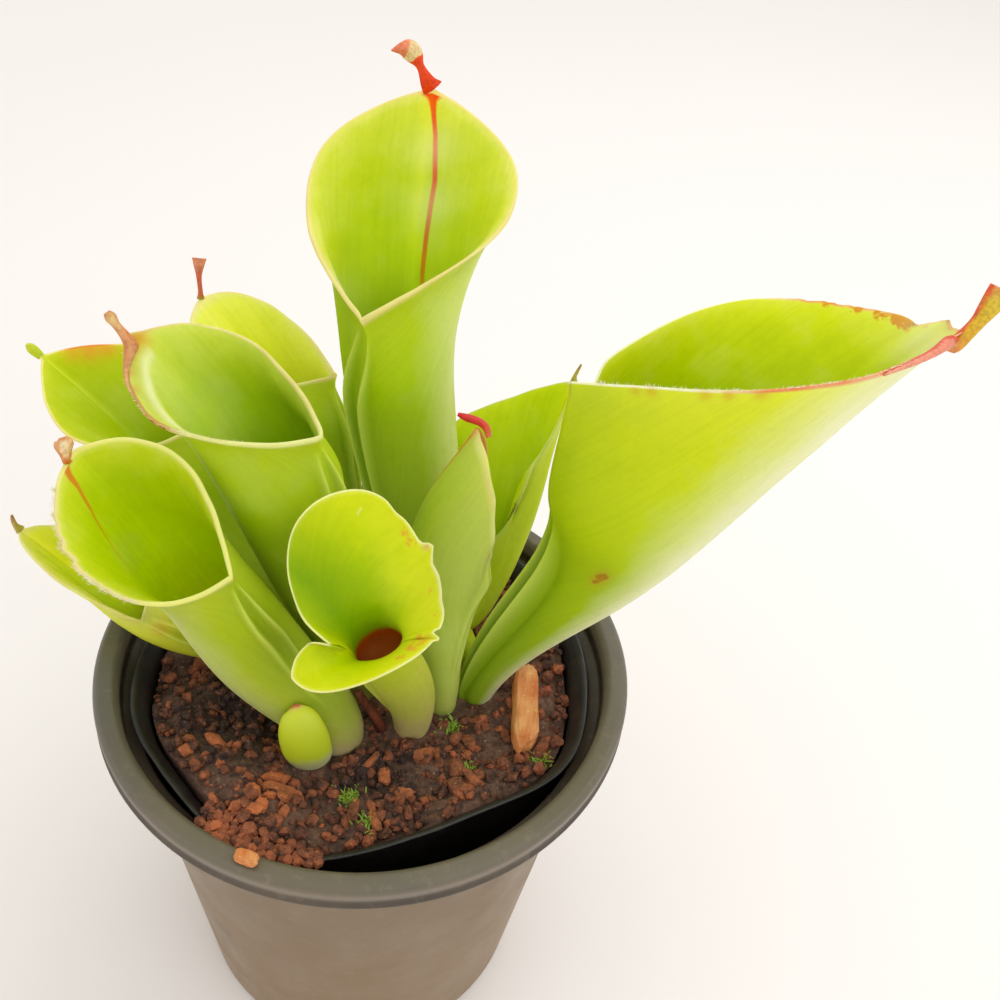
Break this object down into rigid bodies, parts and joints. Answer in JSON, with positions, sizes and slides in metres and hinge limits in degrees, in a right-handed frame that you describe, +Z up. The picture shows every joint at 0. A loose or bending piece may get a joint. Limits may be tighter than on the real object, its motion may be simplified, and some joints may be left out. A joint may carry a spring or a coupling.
{
  "type": "potted heliamphora minor",
  "caption": "Small carnivorous marsh pitcher plant: a clump of funnel-shaped leaves with nectar spoons, rooted in bark soil in a round doubled nursery pot.",
  "frame": {"origin": "centre of the outer pot's underside", "axes": "+Z up along the pot's axis, -Y towards the plant's front, +X to the viewer's right"},
  "size_m": [0.1553, 0.1137, 0.1586],
  "materials": {
    "outer_pot": "satin brown-grey polypropylene",
    "inner_pot": "thin matte black plastic",
    "soil": "damp peat and bark mix",
    "bark": "rough orange-brown bark",
    "leaf": "waxy yellow-green leaf",
    "young_leaf": "waxy pale green leaf",
    "dry_leaf": "dry brown leaf"
  },
  "bodies": {
    "root": {"pot": "outer_pot", "inner_pot": "inner_pot", "soil": "soil", "bark_on_rim": "bark", "pitcher_tall": "leaf", "pitcher_right": "leaf", "pitcher_left_upper": "leaf", "pitcher_left_lower": "leaf", "pitcher_front": "leaf", "pitcher_back_left": "leaf", "pitcher_far_left": "leaf", "pitcher_low_left": "leaf", "pitcher_young": "young_leaf", "pitcher_back_right": "leaf", "leaf_bud": "young_leaf", "dry_stalk": "dry_leaf"}
  },
  "joints": []
}
